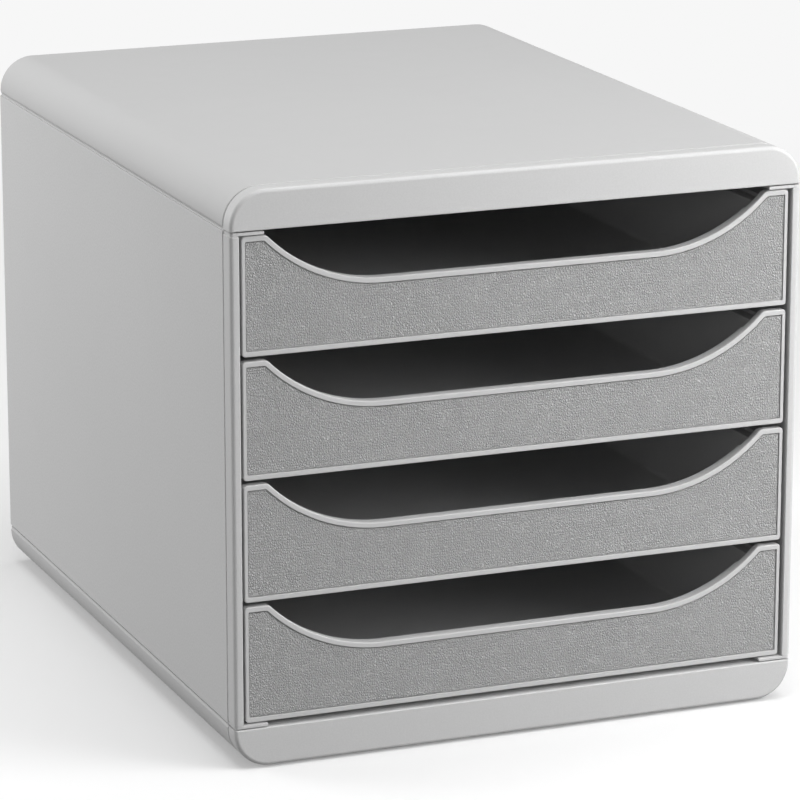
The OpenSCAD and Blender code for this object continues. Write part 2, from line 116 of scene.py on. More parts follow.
class MouldedShape:
    # collects points in millimetres and faces, each with the number of its finish

    def __init__(self):
        self.points = []
        self.faces = []
        self.finishes = []

    def addRing(self, points):
        first = len(self.points)
        self.points.extend(points)
        return list(range(first, len(self.points)))

    def addFace(self, corners, finish=0):
        self.faces.append(tuple(corners))
        self.finishes.append(finish)

    def addSkin(self, one, other, finish=0):
        for i in range(len(one)):
            j = (i + 1) % len(one)
            self.addFace((one[i], one[j], other[j], other[i]), finish)

    def addStack(self, rings):
        indexes = [self.addRing(ring) for ring in rings]
        for one, other in zip(indexes, indexes[1:]):
            self.addSkin(one, other)
        self.addFace(indexes[0])
        self.addFace(indexes[-1])

    def addBar(self, low, high):
        # bar between two corners; its bevelled edges never take more than a share of its sides
        sides = [far - near for near, far in zip(low, high)]
        cut = min(mouldLook["barSoftness"], min(sides) * mouldLook["barShare"])

        def level(z, inset, corner):
            x0, x1 = low[0] + inset, high[0] - inset
            y0, y1 = low[1] + inset, high[1] - inset
            outline = [(x0 + corner, y0), (x1 - corner, y0), (x1, y0 + corner), (x1, y1 - corner),
                       (x1 - corner, y1), (x0 + corner, y1), (x0, y1 - corner), (x0, y0 + corner)]
            return [(x, y, z) for x, y in outline]

        self.addStack([level(low[2], cut, cut / 2), level(low[2] + cut, 0, cut),
                       level(high[2] - cut, 0, cut), level(high[2], cut, cut / 2)])

    def addPrism(self, profile, fromX, toX):
        # profile of (y, z) carried from one x to another
        self.addStack([[(x, y, z) for y, z in profile] for x in (fromX, toX)])

    def flipHeight(self):
        self.points = [(x, y, mirrorHeight - z) for x, y, z in self.points]

    def flipSide(self):
        self.points = [(-x, y, z) for x, y, z in self.points]

    def build(self, name, node, body, materials):
        mesh = bpy.data.meshes.new(name)
        scaled = [tuple(value * metresPerMillimetre for value in point) for point in self.points]
        mesh.from_pydata(scaled, [], self.faces)
        for material in materials:
            mesh.materials.append(material)
        mesh.polygons.foreach_set("material_index", self.finishes)
        work = bmesh.new()
        work.from_mesh(mesh)
        bmesh.ops.recalc_face_normals(work, faces=work.faces)
        work.to_mesh(mesh)
        work.free()
        mesh.shade_smooth()
        mesh.set_sharp_from_angle(angle=math.radians(mouldLook["sharpAngle"]))
        piece = bpy.data.objects.new(name, mesh)
        bpy.context.scene.collection.objects.link(piece)
        weighted = piece.modifiers.new("Weighted normals", "WEIGHTED_NORMAL")
        weighted.keep_sharp = True
        weighted.weight = mouldLook["normalWeight"]
        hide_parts(node)
        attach(piece, body)
        return piece


# The camera comes first, because the lights and tones are judged through it
camera = {
    "azimuth": -21.81,
    "elevation": 14.973,
    "distance": 2.1126,
    "lens": 193.66,
    "sensorWidth": 36,
    "farthest": 50,
    "target": (0.00882, -0.0035, 0.11659),
}


def addCamera():
    azimuth = math.radians(camera["azimuth"])
    elevation = math.radians(camera["elevation"])
    back = Vector((math.sin(azimuth) * math.cos(elevation),
                   -math.cos(azimuth) * math.cos(elevation),
                   math.sin(elevation)))
    lens = bpy.data.cameras.new("studioCamera")
    lens.lens = camera["lens"]
    lens.sensor_width = camera["sensorWidth"]
    lens.clip_end = camera["farthest"]
    eye = bpy.data.objects.new("studioCamera", lens)
    eye.location = Vector(camera["target"]) + back * camera["distance"]
    eye.rotation_euler = (-back).to_track_quat("-Z", "Y").to_euler()
    bpy.context.scene.collection.objects.link(eye)
    bpy.context.scene.camera = eye


addCamera()
print("camera set")


def newGroup(name, inputs, outputs):
    group = bpy.data.node_groups.new(name, "ShaderNodeTree")
    for label, kind, value in inputs:
        socket = group.interface.new_socket(label, in_out="INPUT", socket_type=kind)
        if value is not None:
            socket.default_value = value
    for label, kind in outputs:
        group.interface.new_socket(label, in_out="OUTPUT", socket_type=kind)
    return group, group.nodes.new("NodeGroupInput"), group.nodes.new("NodeGroupOutput")


class Wiring:
    # short words for adding and linking nodes in one tree

    def __init__(self, tree):
        self.tree = tree

    def node(self, kind, **settings):
        made = self.tree.nodes.new(kind)
        for key, value in settings.items():
            setattr(made, key, value)
        return made

    def put(self, value, socket):
        if isinstance(value, bpy.types.NodeSocket):
            self.tree.links.new(value, socket)
        else:
            socket.default_value = value

    def maths(self, operation, *values):
        made = self.node("ShaderNodeMath", operation=operation)
        for i, value in enumerate(values):
            self.put(value, made.inputs[i])
        return made.outputs[0]

    def scaled(self, vector, factor):
        made = self.node("ShaderNodeVectorMath", operation="SCALE")
        self.put(vector, made.inputs[0])
        self.put(factor, made.inputs["Scale"])
        return made.outputs[0]

    def noise(self, vector, scale, detail=2.0, roughness=0.5, distortion=0.0):
        made = self.node("ShaderNodeTexNoise")
        self.put(vector, made.inputs["Vector"])
        self.put(scale, made.inputs["Scale"])
        made.inputs["Detail"].default_value = detail
        made.inputs["Roughness"].default_value = roughness
        made.inputs["Distortion"].default_value = distortion
        return made

    def remap(self, value, fromLow, fromHigh, toLow, toHigh, smooth=False):
        made = self.node("ShaderNodeMapRange")
        if smooth:
            made.interpolation_type = "SMOOTHSTEP"
        for name, number in (("Value", value), ("From Min", fromLow), ("From Max", fromHigh),
                             ("To Min", toLow), ("To Max", toHigh)):
            self.put(number, made.inputs[name])
        return made.outputs[0]

    def mixColour(self, factor, one, other):
        made = self.node("ShaderNodeMix", data_type="RGBA")
        self.put(factor, made.inputs[0])
        self.put(one, made.inputs[6])  # 6, 7 and output 2 are the node's colour sockets
        self.put(other, made.inputs[7])
        return made.outputs[2]


# Values of the shared shader groups; scales count against the size or spread that a finish gives
groupLook = {
    "fineRoughness": 0.6,
    "fleckFrom": 0.3,
    "fleckTo": 0.7,
    "pebbleStretch": 1.4,
    "pebbleRandomness": 0.75,
    "driftScale": 0.45,
    "driftReach": 0.0004,
    "crownReach": 0.34,
    "lowestCrown": 0.85,
    "crumbScale": 1.6,
    "crumbShare": 0.1,
    "toneDetail": 3.0,
    "toneFrom": 0.3,
    "toneTo": 0.7,
    "smearScale": 4.5,
    "smearDetail": 4.0,
    "smearRoughness": 0.62,
    "smearDistortion": 0.8,
    "smudgeFrom": 0.5,
    "smudgeTo": 0.75,
    "bevelSamples": 4,
    "edgeFrom": 0.999,
    "edgeTo": 0.93,
}
millimetresPerMetre = 1000.0


def makeFineGrain():
    # spark-eroded matt grain: fine pits, and flecks on the high spots between them
    group, given, result = newGroup(
        "fineGrain",
        [("Vector", "NodeSocketVector", None), ("Size", "NodeSocketFloat", 0.5)],
        [("Height", "NodeSocketFloat"), ("Fleck", "NodeSocketFloat")])
    wire = Wiring(group)
    perMetre = wire.maths("DIVIDE", millimetresPerMetre, given.outputs["Size"])
    pits = wire.noise(given.outputs["Vector"], perMetre, 1.0, groupLook["fineRoughness"])
    wire.put(pits.outputs["Fac"], result.inputs["Height"])
    fleck = wire.remap(pits.outputs["Fac"], groupLook["fleckFrom"], groupLook["fleckTo"], 0.0, 1.0)
    wire.put(fleck, result.inputs["Fleck"])
    return group


def makePebbleGrain():
    # leather-like grain: small pebbles, taller than wide, between narrow valleys
    group, given, result = newGroup(
        "pebbleGrain",
        [("Vector", "NodeSocketVector", None), ("Size", "NodeSocketFloat", 1.0),
         ("Stretch", "NodeSocketFloat", groupLook["pebbleStretch"])],
        [("Height", "NodeSocketFloat"), ("PaintedValleyShade", "NodeSocketFloat"), ("Tint", "NodeSocketFloat")])
    wire = Wiring(group)
    perMetre = wire.maths("DIVIDE", millimetresPerMetre, given.outputs["Size"])
    squeeze = wire.node("ShaderNodeCombineXYZ")
    squeeze.inputs["X"].default_value = 1.0
    squeeze.inputs["Y"].default_value = 1.0
    wire.put(wire.maths("DIVIDE", 1.0, given.outputs["Stretch"]), squeeze.inputs["Z"])
    tall = wire.node("ShaderNodeVectorMath", operation="MULTIPLY")
    wire.put(given.outputs["Vector"], tall.inputs[0])
    wire.put(squeeze.outputs[0], tall.inputs[1])
    place = tall.outputs[0]
    drift = wire.noise(place, wire.maths("MULTIPLY", perMetre, groupLook["driftScale"]))
    shift = wire.node("ShaderNodeVectorMath", operation="SUBTRACT")
    wire.put(drift.outputs["Color"], shift.inputs[0])
    shift.inputs[1].default_value = (0.5, 0.5, 0.5)  # the middle of the noise's range
    reach = wire.maths("MULTIPLY", given.outputs["Size"], groupLook["driftReach"])
    warp = wire.scaled(shift.outputs[0], reach)
    warped = wire.node("ShaderNodeVectorMath", operation="ADD")
    wire.put(place, warped.inputs[0])
    wire.put(warp, warped.inputs[1])
    edges = wire.node("ShaderNodeTexVoronoi", feature="DISTANCE_TO_EDGE")
    wire.put(warped.outputs[0], edges.inputs["Vector"])
    wire.put(perMetre, edges.inputs["Scale"])
    edges.inputs["Randomness"].default_value = groupLook["pebbleRandomness"]
    cells = wire.node("ShaderNodeTexVoronoi", feature="F1")
    wire.put(warped.outputs[0], cells.inputs["Vector"])
    wire.put(perMetre, cells.inputs["Scale"])
    cells.inputs["Randomness"].default_value = groupLook["pebbleRandomness"]
    crown = wire.remap(edges.outputs["Distance"], 0.0, groupLook["crownReach"], 0.0, 1.0, smooth=True)
    tint = wire.node("ShaderNodeSeparateColor")
    wire.put(cells.outputs["Color"], tint.inputs[0])
    crumbs = wire.noise(warped.outputs[0], wire.maths("MULTIPLY", perMetre, groupLook["crumbScale"]))
    stature = wire.remap(tint.outputs[0], 0.0, 1.0, groupLook["lowestCrown"], 1.0)
    height = wire.maths("ADD", wire.maths("MULTIPLY", crown, stature),
                        wire.maths("MULTIPLY", crumbs.outputs["Fac"], groupLook["crumbShare"]))
    wire.put(height, result.inputs["Height"])
    # the valleys as a mask, used to paint shade into them
    wire.put(wire.maths("SUBTRACT", 1.0, crown), result.inputs["PaintedValleyShade"])
    wire.put(tint.outputs[1], result.inputs["Tint"])
    return group


def makeSoftVariation():
    # slow unevenness of a moulded surface and the smudges that hands leave
    group, given, result = newGroup(
        "softVariation",
        [("Vector", "NodeSocketVector", None), ("Spread", "NodeSocketFloat", 0.12)],
        [("Tone", "NodeSocketFloat"), ("Smudge", "NodeSocketFloat")])
    wire = Wiring(group)
    place = given.outputs["Vector"]
    spread = given.outputs["Spread"]
    slow = wire.noise(place, wire.maths("DIVIDE", 1.0, spread), groupLook["toneDetail"])
    smear = wire.noise(place, wire.maths("DIVIDE", groupLook["smearScale"], spread), groupLook["smearDetail"],
                       groupLook["smearRoughness"], groupLook["smearDistortion"])
    tone = wire.remap(slow.outputs["Fac"], groupLook["toneFrom"], groupLook["toneTo"], 0.0, 1.0)
    smudge = wire.remap(smear.outputs["Fac"], groupLook["smudgeFrom"], groupLook["smudgeTo"], 0.0, 1.0)
    wire.put(tone, result.inputs["Tone"])
    wire.put(smudge, result.inputs["Smudge"])
    return group


def makeEdgeHighlightAndWear():
    # edges: a painted highlight makes them a little lighter in colour, and moulding and handling have left
    # them smoother and glossier
    group, given, result = newGroup(
        "edgeHighlightAndWear",
        [("Radius", "NodeSocketFloat", 0.0008)],
        [("Edge", "NodeSocketFloat")])
    wire = Wiring(group)
    softened = wire.node("ShaderNodeBevel", samples=groupLook["bevelSamples"])
    wire.put(given.outputs["Radius"], softened.inputs["Radius"])
    plain = wire.node("ShaderNodeNewGeometry")
    across = wire.node("ShaderNodeVectorMath", operation="DOT_PRODUCT")
    wire.put(softened.outputs[0], across.inputs[0])
    wire.put(plain.outputs["Normal"], across.inputs[1])
    edge = wire.remap(across.outputs["Value"], groupLook["edgeFrom"], groupLook["edgeTo"], 0.0, 1.0)
    wire.put(edge, result.inputs["Edge"])
    return group


fineGrain = makeFineGrain()
pebbleGrain = makePebbleGrain()
softVariation = makeSoftVariation()
edgeHighlightAndWear = makeEdgeHighlightAndWear()
print("shader groups made")


def shade(value, warmth=0.0):
    # a grey, slightly warm or cool
    return (value * (1 + warmth), value, value * (1 - warmth), 1.0)


# What every plastic shares
plasticLook = {
    "pebbleLight": 1.25,
    "smudgeDark": 0.9,
    "refraction": 1.5,
}


def makePlastic(name, look):
    material = bpy.data.materials.new(name)
    material.use_nodes = True
    tree = material.node_tree
    tree.nodes.clear()
    wire = Wiring(tree)
    output = wire.node("ShaderNodeOutputMaterial")
    surface = wire.node("ShaderNodeBsdfPrincipled")
    wire.put(surface.outputs[0], output.inputs["Surface"])
    place = wire.node("ShaderNodeTexCoord").outputs["Object"]

    grain = wire.node("ShaderNodeGroup")
    grain.node_tree = pebbleGrain if look["pebbles"] else fineGrain
    wire.put(place, grain.inputs["Vector"])
    grain.inputs["Size"].default_value = look["grainSize"]
    unevenness = wire.node("ShaderNodeGroup")
    unevenness.node_tree = softVariation
    wire.put(place, unevenness.inputs["Vector"])
    unevenness.inputs["Spread"].default_value = look["spread"]
    edge = wire.node("ShaderNodeGroup")
    edge.node_tree = edgeHighlightAndWear
    edge.inputs["Radius"].default_value = look["edgeRadius"]

    base = look["colour"]
    tones = wire.mixColour(unevenness.outputs["Tone"], shade(base * (1 - look["mottling"]), look["warmth"]),
                           shade(base * (1 + look["mottling"]), look["warmth"]))
    # on pebbles the dark marks are painted shade in the valleys, on fine grain they are darker flecks of the
    # plastic
    fleckAndValleyShade = grain.outputs["PaintedValleyShade"] if look["pebbles"] else grain.outputs["Fleck"]
    grained = wire.mixColour(wire.maths("MULTIPLY", fleckAndValleyShade, look["grainTone"]), tones,
                             shade(base * look["fleckAndValleyShadeDark"], look["warmth"]))
    if look["pebbles"]:
        grained = wire.mixColour(wire.maths("MULTIPLY", grain.outputs["Tint"], look["pebbleTint"]), grained,
                                 shade(base * plasticLook["pebbleLight"], look["warmth"]))
    smudged = wire.mixColour(wire.maths("MULTIPLY", unevenness.outputs["Smudge"], look["smudge"]), grained,
                             shade(base * plasticLook["smudgeDark"], look["warmth"]))
    # painted highlight: the colour of the edges is made lighter
    edged = wire.mixColour(wire.maths("MULTIPLY", edge.outputs["Edge"], look["edgeHighlightShare"]), smudged,
                           shade(min(1.0, base * look["edgeHighlightLift"]), look["warmth"]))
    wire.put(edged, surface.inputs["Base Color"])

    roughness = wire.maths("ADD", look["roughness"],
                           wire.maths("MULTIPLY", unevenness.outputs["Smudge"], look["smudgeGloss"]))
    roughness = wire.maths("SUBTRACT", roughness,
                           wire.maths("MULTIPLY", edge.outputs["Edge"], look["edgeGloss"]))
    wire.put(roughness, surface.inputs["Roughness"])
    surface.inputs["IOR"].default_value = plasticLook["refraction"]
    surface.inputs["Specular IOR Level"].default_value = look["specular"]

    relief = wire.node("ShaderNodeBump")
    relief.inputs["Strength"].default_value = look["bumpStrength"]
    relief.inputs["Distance"].default_value = look["bumpDepth"]
    wire.put(grain.outputs["Height"], relief.inputs["Height"])
    wire.put(relief.outputs[0], surface.inputs["Normal"])
    return material


# Colours are linear, grain sizes in millimetres, spreads, radii and depths in metres
finishes = {
    "coverPlastic": {
        "colour": 0.578, "warmth": 0.0, "roughness": 0.58, "specular": 0.25,
        "pebbles": False, "grainSize": 0.35, "grainTone": 0.10, "fleckAndValleyShadeDark": 0.94,
        "mottling": 0.008, "spread": 0.12, "smudge": 0.05, "smudgeGloss": 0.05,
        "edgeHighlightShare": 0.15, "edgeHighlightLift": 1.08, "edgeGloss": 0.05, "edgeRadius": 0.0008,
        "bumpStrength": 0.10, "bumpDepth": 0.00006,
    },
    "panelPlastic": {
        "colour": 0.64, "warmth": 0.0, "roughness": 0.55, "specular": 0.5,
        "pebbles": False, "grainSize": 1.0, "grainTone": 0.6, "fleckAndValleyShadeDark": 0.86,
        "mottling": 0.012, "spread": 0.15, "smudge": 0.05, "smudgeGloss": 0.05,
        "edgeHighlightShare": 0.15, "edgeHighlightLift": 1.08, "edgeGloss": 0.05, "edgeRadius": 0.0006,
        "bumpStrength": 0.5, "bumpDepth": 0.0001,
    },
    "fasciaPlastic": {
        "colour": 0.63, "warmth": 0.0, "roughness": 0.5, "specular": 0.35,
        "pebbles": False, "grainSize": 0.8, "grainTone": 0.45, "fleckAndValleyShadeDark": 0.90,
        "mottling": 0.008, "spread": 0.12, "smudge": 0.05, "smudgeGloss": 0.05,
        "edgeHighlightShare": 0.2, "edgeHighlightLift": 1.08, "edgeGloss": 0.06, "edgeRadius": 0.0008,
        "bumpStrength": 0.3, "bumpDepth": 0.0001,
    },
    "rimPlastic": {
        "colour": 0.60, "warmth": 0.0, "roughness": 0.40, "specular": 0.5,
        "pebbles": False, "grainSize": 0.35, "grainTone": 0.08, "fleckAndValleyShadeDark": 0.94,
        "mottling": 0.01, "spread": 0.08, "smudge": 0.06, "smudgeGloss": 0.06,
        "edgeHighlightShare": 0.2, "edgeHighlightLift": 1.08, "edgeGloss": 0.06, "edgeRadius": 0.0006,
        "bumpStrength": 0.08, "bumpDepth": 0.00005,
    },
    "fieldPlastic": {
        # the field is the same plastic as the rim; its darker colour is painted shade for the shade among its
        # pebbles
        "colour": 0.503, "warmth": 0.0, "roughness": 0.52, "specular": 0.5,
        "pebbles": True, "grainSize": 0.9, "grainTone": 0.55, "fleckAndValleyShadeDark": 0.74, "pebbleTint": 0.05,
        "mottling": 0.012, "spread": 0.10, "smudge": 0.05, "smudgeGloss": 0.05,
        "edgeHighlightShare": 0.1, "edgeHighlightLift": 1.05, "edgeGloss": 0.04, "edgeRadius": 0.0005,
        "bumpStrength": 1.0, "bumpDepth": 0.0005,
    },
    "trayPlastic": {
        "colour": 0.60, "warmth": 0.0, "roughness": 0.5, "specular": 0.5,
        "pebbles": False, "grainSize": 0.6, "grainTone": 0.2, "fleckAndValleyShadeDark": 0.88,
        "mottling": 0.02, "spread": 0.10, "smudge": 0.12, "smudgeGloss": 0.08,
        "edgeHighlightShare": 0.2, "edgeHighlightLift": 1.1, "edgeGloss": 0.08, "edgeRadius": 0.0008,
        "bumpStrength": 0.2, "bumpDepth": 0.00008,
    },
    "runnerPlastic": {
        "colour": 0.56, "warmth": 0.0, "roughness": 0.46, "specular": 0.5,
        "pebbles": False, "grainSize": 0.5, "grainTone": 0.2, "fleckAndValleyShadeDark": 0.88,
        "mottling": 0.02, "spread": 0.08, "smudge": 0.15, "smudgeGloss": 0.1,
        "edgeHighlightShare": 0.2, "edgeHighlightLift": 1.1, "edgeGloss": 0.1, "edgeRadius": 0.0008,
        "bumpStrength": 0.15, "bumpDepth": 0.00006,
    },
    "footRubber": {
        "colour": 0.08, "warmth": 0.01, "roughness": 0.78, "specular": 0.5,
        "pebbles": False, "grainSize": 0.5, "grainTone": 0.4, "fleckAndValleyShadeDark": 0.7,
        "mottling": 0.06, "spread": 0.02, "smudge": 0.3, "smudgeGloss": 0.08,
        "edgeHighlightShare": 0.3, "edgeHighlightLift": 1.4, "edgeGloss": 0.08, "edgeRadius": 0.0008,
        "bumpStrength": 0.35, "bumpDepth": 0.0001,
    },
}
material = {name: makePlastic(name, look) for name, look in finishes.items()}
print("materials made:", len(material))


coverLook = {
    "frontRounding": 0.5,
    "rearRounding": 1.2,
    "innerBevel": 0.3,
    "cornerSteps": 30,
    "frontSteps": 5,
    "rearSteps": 6,
    "grooveHeight": 1.7,
    "grooveDepth": 0.7,
    "ribThickness": 1.6,
    "ribCount": 5,
    "longRibX": 122.9,
    "ribFrontY": -157.3,
    "ribRearY": 170.6,
    "ribLift": 0.1,
}


def coverStations():
    # place, inward direction and inset of each station from the left seam edge to the right one
    half = casing["halfWidth"]
    atEdge = coverLook["grooveDepth"] * (1 - (bandLow - openTop) / coverLook["grooveHeight"])
    grooveTop = openTop + coverLook["grooveHeight"]
    left = [((-half, bandLow), (1, 0), atEdge), ((-half, grooveTop), (1, 0), 0.0)]
    radius = casing["cornerRadius"]
    for i in range(coverLook["cornerSteps"] + 1):
        angle = math.radians(180 - 90 * i / coverLook["cornerSteps"])
        outward = (math.cos(angle), math.sin(angle))
        point = (-cornerX + radius * outward[0], cornerZ + radius * outward[1])
        left.append((point, (-outward[0], -outward[1]), 0.0))
    right = [((-p[0], p[1]), (-n[0], n[1]), inset) for p, n, inset in reversed(left)]
    return left + right


def coverProfile():
    front = bezelBack + casing["seam"]
    rear = casing["rearY"]
    wall = casing["wall"]
    bevel = coverLook["innerBevel"]
    soft = coverLook["frontRounding"]
    softRear = coverLook["rearRounding"]
    profile = arcPoints((soft, front + soft), soft, 270, 180, coverLook["frontSteps"])
    profile += arcPoints((softRear, rear - softRear), softRear, 180, 90, coverLook["rearSteps"])
    profile += [(wall - bevel, rear), (wall, rear - bevel), (wall, front + bevel), (wall - bevel, front)]
    return profile


def makeCover(name, isTop):
    shape = MouldedShape()
    profile = coverProfile()
    rings = []
    for point, inwardWay, inset in coverStations():
        ring = []
        for inward, y in profile:
            reach = max(inward, inset)
            ring.append((point[0] + inwardWay[0] * reach, y, point[1] + inwardWay[1] * reach))
        rings.append(ring)
    shape.addStack(rings)
    # ribs under the roof, some across and one along each side
    thick = coverLook["ribThickness"]
    ribLow = bandLow + coverLook["ribLift"]
    ribHigh = casing["top"] - casing["wall"] / 2
    step = (coverLook["ribRearY"] - thick - coverLook["ribFrontY"]) / (coverLook["ribCount"] - 1)
    for i in range(coverLook["ribCount"]):
        y = coverLook["ribFrontY"] + i * step
        shape.addBar((-cornerX, y, ribLow), (cornerX, y + thick, ribHigh))
    x = coverLook["longRibX"]
    for side in (-1, 1):
        near, far = sorted((side * x, side * (x + thick)))
        shape.addBar((near, coverLook["ribFrontY"], ribLow), (far, coverLook["ribRearY"], ribHigh))
    if not isTop:
        shape.flipHeight()
    shape.build(name + "_shell", name, "casing", [material["coverPlastic"]])


makeCover("top_cover", True)
makeCover("base_cover", False)
print("covers made")


fasciaLook = {
    "outerRounding": 2.0,
    "seamCut": 0.6,
    "ledgeRounding": 0.6,
    "rearBevel": 0.3,
    "innerBevel": 1.0,
    "cornerSteps": 24,
    "outerSteps": 9,
    "ledgeSteps": 4,
    "ribCount": 5,
    "ribThickness": 1.6,
    "tongueLength": 6.0,
    "tongueDrop": 2.6,
    "tongueRootRise": 1.0,
}


def bandOutline(inset, ledgeInset):
    # outline (x, z) of the top band seen from the front
    low = bandLow + ledgeInset
    side = casing["halfWidth"] - inset
    radius = casing["cornerRadius"] - inset
    steps = fasciaLook["cornerSteps"]
    points = [(-side, low)]
    points += arcPoints((-cornerX, cornerZ), radius, 180, 90, steps)
    points += arcPoints((cornerX, cornerZ), radius, 90, 0, steps)
    points.append((side, low))
    return points


def makeFascia(name, isTop):
    shape = MouldedShape()
    face = casing["faceY"]
    soft = fasciaLook["outerRounding"]
    ledge = fasciaLook["ledgeRounding"]
    depths = roundedDepths(soft, fasciaLook["outerSteps"]) + roundedDepths(ledge, fasciaLook["ledgeSteps"])
    rings = []
    for depth in sorted(set(depths)):
        outline = bandOutline(roundedInset(depth, soft), roundedInset(depth, ledge))
        rings.append([(x, face + depth, z) for x, z in outline])
    bevel = fasciaLook["rearBevel"]
    wall = casing["wall"]
    back = bezelBack - fasciaLook["seamCut"]
    inner = fasciaLook["innerBevel"]
    for inset, y in ((0.0, back - bevel), (bevel, back), (wall - bevel, back),
                     (wall, back - bevel), (wall, face + wall + inner), (wall + inner, face + wall)):
        rings.append([(x, y, z) for x, z in bandOutline(inset, inset)])
    shape.addStack(rings)
    # ribs in the hollow back, then the tongue that slides under the cover
    thick = fasciaLook["ribThickness"]
    step = 2 * cornerX / (fasciaLook["ribCount"] + 1)
    for i in range(1, fasciaLook["ribCount"] + 1):
        x = -cornerX + i * step
        shape.addBar((x - thick / 2, face + wall / 2, bandLow + wall / 2),
                     (x + thick / 2, bezelBack, casing["top"] - wall / 2))
    tongueTop = casing["top"] - fasciaLook["tongueDrop"]
    tongueStart = (-cornerX, bezelBack - 2 * thick, tongueTop - thick)
    tongueEnd = bezelBack + casing["seam"] + fasciaLook["tongueLength"]
    shape.addBar(tongueStart, (cornerX, tongueEnd, tongueTop))
    shape.addBar(tongueStart, (cornerX, bezelBack, tongueTop + fasciaLook["tongueRootRise"]))
    if not isTop:
        shape.flipHeight()
    shape.build(name + "_shell", name, "casing", [material["fasciaPlastic"]])


makeFascia("top_front_fascia", True)
makeFascia("bottom_front_fascia", False)
print("fascias made")


stileLook = {
    "width": 4.3,
    "frontThickness": 1.3,
    "sideThickness": 2.0,
    "outerRounding": 2.0,
    "seamCut": 0.6,
    "outerSteps": 8,
    "innerBevel": 0.5,
    "innerSteps": 4,
    "rearBevel": 0.2,
    "endGap": 0.4,
    "endBevel": 0.15,
    "earLength": 11.9,
    "earOverlap": 1.0,
    "earThickness": 1.5,
    "earStep": 0.35,
    "earRounding": 0.3,
    "earSteps": 8,
    "stepBevel": 0.12,
    "stepFoot": 0.1,
    "softShare": 0.3,
}


def stileSection(back):
    # section (x, y) of the right stile from above, its visible faces stepped back
    half = casing["halfWidth"]
    outer = half - back
    front = casing["faceY"] + back
    inner = half - stileLook["width"] + back
    soft = stileLook["outerRounding"] - back
    bevel = stileLook["innerBevel"]
    rear = casing["faceY"] + stileLook["frontThickness"]
    end = bezelBack - stileLook["seamCut"]
    cut = stileLook["rearBevel"]
    hollow = half - stileLook["sideThickness"]
    points = arcPoints((outer - soft, front + soft), soft, 270, 360, stileLook["outerSteps"])
    points += [(outer, end - cut), (outer - cut, end), (hollow, end), (hollow, rear), (inner, rear)]
    points += arcPoints((inner + bevel, front + bevel), bevel, 180, 270, stileLook["innerSteps"])
    return points


def makeStile(name, isRight):
    shape = MouldedShape()
    low = openBottom + stileLook["endGap"]
    high = openTop - stileLook["endGap"]
    thick = stileLook["earThickness"]
    step = stileLook["earStep"]
    end = stileLook["endBevel"]
    ease = stileLook["stepBevel"]
    stepAt = low + thick + step
    levels = [(low, step + end), (low + end, step), (stepAt - stileLook["stepFoot"], step), (stepAt, ease),
              (stepAt + ease, 0.0)]
    levels += [(low + high - z, back) for z, back in reversed(levels)]
    shape.addStack([[(x, y, z) for x, y in stileSection(back)] for z, back in levels])
    # an ear at each end reaches in over the corner of a drawer's opening
    soft = stileLook["earRounding"]
    nearFace = soft * stileLook["softShare"]
    root = casing["halfWidth"] - stileLook["width"]
    tip = root - stileLook["earLength"]
    inStile = root + stileLook["earOverlap"]
    front = casing["faceY"] + step
    for base in (low, high - thick):
        rings = []
        for inset, y in ((soft, front), (nearFace, front + nearFace), (0.0, front + soft), (0.0, bezelBack)):
            radius = thick / 2 - inset
            outline = arcPoints((tip + thick / 2, base + thick / 2), radius, 270, 90, stileLook["earSteps"])
            outline += [(inStile, base + thick - inset), (inStile, base + inset)]
            rings.append([(x, y, z) for x, z in outline])
        shape.addStack(rings)
    if not isRight:
        shape.flipSide()
    shape.build(name + "_strip", name, "casing", [material["fasciaPlastic"]])


makeStile("left_front_stile", False)
makeStile("right_front_stile", True)
print("stiles made")


frontLook = {
    "rimWidth": 2.4,
    "sideShare": 0.72,
    "widening": 0.3,
    "rimRounding": 0.55,
    "rimInnerRounding": 0.15,
    "channelDepth": 1.5,
    "channelWidth": 0.5,
    "channelBevel": 0.1,
    "fieldRise": 1.05,
    "fieldEdge": 0.12,
    "softShare": 0.3,
    "plateBack": 2.8,
    "rearBevel": 0.25,
    "innerCorner": 0.5,
    "scoopSteps": 36,
    "shoulderSteps": 8,
    "cornerSteps": 6,
    "rimSteps": 7,
    "rimInnerSteps": 4,
    "hookWidth": 8.0,
    "hookThickness": 1.6,
    "hookBarb": 0.9,
    "hookHeight": 9.0,
    "hookCatch": 7.2,
    "hookPlaces": (-0.4, -0.14, 0.14, 0.4),
}


def frontOutline(offset):
    # outline (x, z) of a front, drawn in by an offset; z counts from its lower edge
    half = drawer["halfWidth"] + frontLook["widening"] - offset * frontLook["sideShare"]
    top = drawer["height"]
    corner = max(drawer["cornerRadius"] - offset, frontLook["innerCorner"])
    scoopRadius = drawer["scoopRadius"]
    shoulder = drawer["shoulderRadius"]
    scoopCentre = (drawer["scoopFlat"], top - drawer["scoopDepth"] + scoopRadius)
    drop = scoopRadius - drawer["scoopDepth"] + shoulder
    reach = math.sqrt((scoopRadius + shoulder) ** 2 - drop ** 2)
    lean = math.degrees(math.atan2(reach, drop))
    shoulderCentre = (drawer["scoopFlat"] + reach, top - shoulder)
    cornerIn = half - corner
    right = arcPoints(scoopCentre, scoopRadius + offset, 270, 270 + lean, frontLook["scoopSteps"])
    right += arcPoints(shoulderCentre, shoulder - offset, 90 + lean, 90, frontLook["shoulderSteps"])[1:]
    right += arcPoints((cornerIn, top - offset - corner), corner, 90, 0, frontLook["cornerSteps"])
    right += arcPoints((cornerIn, offset + corner), corner, 0, -90, frontLook["cornerSteps"])
    left = [(-x, z) for x, z in reversed(right)]
    return left + right


